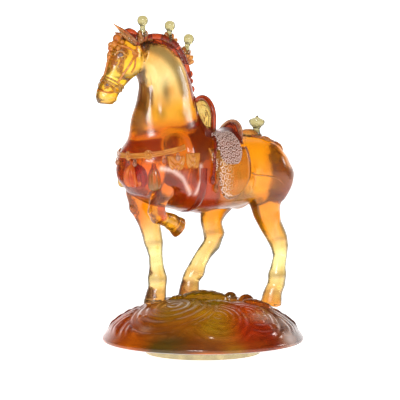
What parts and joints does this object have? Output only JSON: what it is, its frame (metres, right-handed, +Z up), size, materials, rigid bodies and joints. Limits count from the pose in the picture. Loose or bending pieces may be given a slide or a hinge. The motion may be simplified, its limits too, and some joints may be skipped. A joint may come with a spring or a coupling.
{
  "type": "crystal glass figurine",
  "caption": "Cast crystal-glass horse in saddle, bridle and crupper, one foreleg raised, on a domed cloud base with a clear foot disc.",
  "frame": {"origin": "centre of the foot disc's flat underside", "axes": "+Z up out of the base, -X the way the horse faces, -Y its left side"},
  "size_m": [0.2326, 0.2, 0.3338],
  "materials": {
    "amber_glass": "Deep amber crystal, satin",
    "red_glass": "Orange-red crystal, satin",
    "pale_glass": "Pale gold crystal, satin to clear",
    "clear_glass": "Clear straw crystal, polished",
    "olive_glass": "Olive-amber crystal, satin",
    "rose_glass": "Amber crystal with frosted whitish relief"
  },
  "bodies": {
    "root": {"base_dome": "red_glass", "bell_tassel_left": "amber_glass", "bell_tassel_right": "amber_glass", "bit_ring_left": "clear_glass", "bit_ring_right": "clear_glass", "breast_collar": "amber_glass", "cantle": "rose_glass", "cheek_rosette_left": "amber_glass", "cheek_rosette_right": "amber_glass", "cheek_strap_left": "rose_glass", "cheek_strap_right": "rose_glass", "chest_tassel": "red_glass", "cloud_lobe_front": "olive_glass", "cloud_lobe_head": "amber_glass", "cloud_lobe_left": "rose_glass", "cloud_pendant_left": "amber_glass", "cloud_pendant_right": "amber_glass", "croup_finial": "clear_glass", "croup_mound": "amber_glass", "croup_rosette_left": "rose_glass", "croup_rosette_right": "rose_glass", "crupper_strap": "rose_glass", "ear_left": "amber_glass", "ear_right": "amber_glass", "foot_disc": "clear_glass", "foreleg_left": "pale_glass", "foreleg_right": "pale_glass", "forelock": "amber_glass", "girth": "red_glass", "head": "amber_glass", "headstall": "rose_glass", "hindleg_left": "pale_glass", "hindleg_right": "pale_glass", "hoof_fore_left": "amber_glass", "hoof_fore_right": "amber_glass", "hoof_hind_left": "amber_glass", "hoof_hind_right": "amber_glass", "mane_crest": "red_glass", "mane_knob": "red_glass", "mane_plume_1": "clear_glass", "mane_plume_2": "clear_glass", "mane_plume_3": "clear_glass", "medallion_front": "rose_glass", "medallion_left": "rose_glass", "medallion_right": "rose_glass", "mudguard_left": "amber_glass", "mudguard_right": "amber_glass", "neck": "pale_glass", "noseband": "pale_glass", "pommel": "rose_glass", "rump_rosette_left": "rose_glass", "rump_rosette_right": "rose_glass", "saddle_cloth": "rose_glass", "saddle_seat": "red_glass", "stirrup_leather_left": "red_glass", "stirrup_leather_right": "red_glass", "tail": "amber_glass", "tail_bead": "clear_glass", "torso": "red_glass"}
  },
  "joints": []
}
